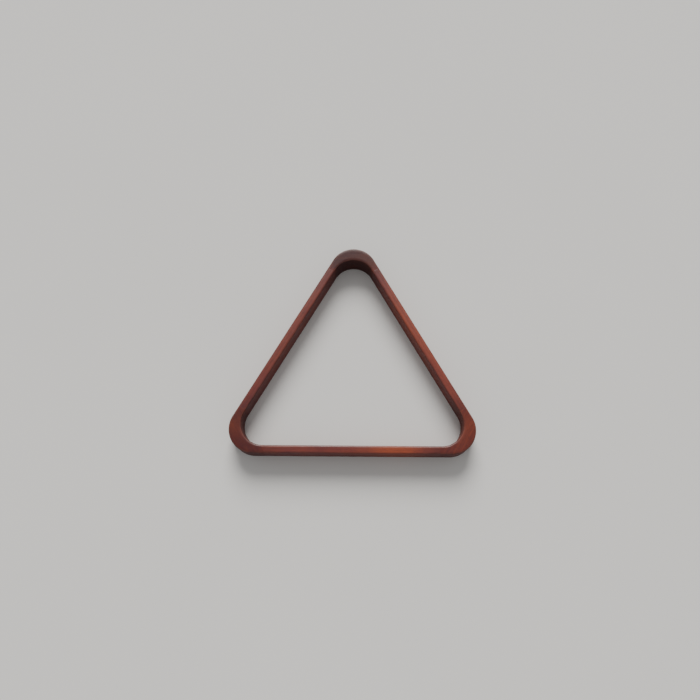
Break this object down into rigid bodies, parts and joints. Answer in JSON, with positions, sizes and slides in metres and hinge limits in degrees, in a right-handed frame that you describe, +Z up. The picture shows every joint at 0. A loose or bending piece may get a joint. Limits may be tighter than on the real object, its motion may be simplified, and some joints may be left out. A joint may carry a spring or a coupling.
{
  "type": "triangle rack",
  "caption": "Wooden triangle frame with rounded corners that gathers pool balls into a tight triangle on the table; straight rails doweled to solid corner blocks.",
  "frame": {"origin": "centre of the outer box, on the face that the rack lies on", "axes": "+Z up through the rack's height, +X along the base rail, +Y from the base rail to the apex"},
  "size_m": [0.317, 0.2832, 0.032],
  "materials": {
    "stained_rail_wood": "red-brown mahogany stain under satin lacquer",
    "stained_corner_wood": "darker red-brown mahogany stain under satin lacquer",
    "dowel_wood": "bare beech, sealed inside the glued joints"
  },
  "bodies": {
    "root": {"base_rail": "stained_rail_wood", "left_rail": "stained_rail_wood", "right_rail": "stained_rail_wood", "apex_corner": "stained_corner_wood", "left_corner": "stained_corner_wood", "right_corner": "stained_corner_wood", "apex_corner_to_right_rail_lower_dowel": "dowel_wood", "apex_corner_to_right_rail_upper_dowel": "dowel_wood", "apex_corner_to_left_rail_lower_dowel": "dowel_wood", "apex_corner_to_left_rail_upper_dowel": "dowel_wood", "left_corner_to_left_rail_lower_dowel": "dowel_wood", "left_corner_to_left_rail_upper_dowel": "dowel_wood", "left_corner_to_base_rail_lower_dowel": "dowel_wood", "left_corner_to_base_rail_upper_dowel": "dowel_wood", "right_corner_to_base_rail_lower_dowel": "dowel_wood", "right_corner_to_base_rail_upper_dowel": "dowel_wood", "right_corner_to_right_rail_lower_dowel": "dowel_wood", "right_corner_to_right_rail_upper_dowel": "dowel_wood"}
  },
  "joints": []
}
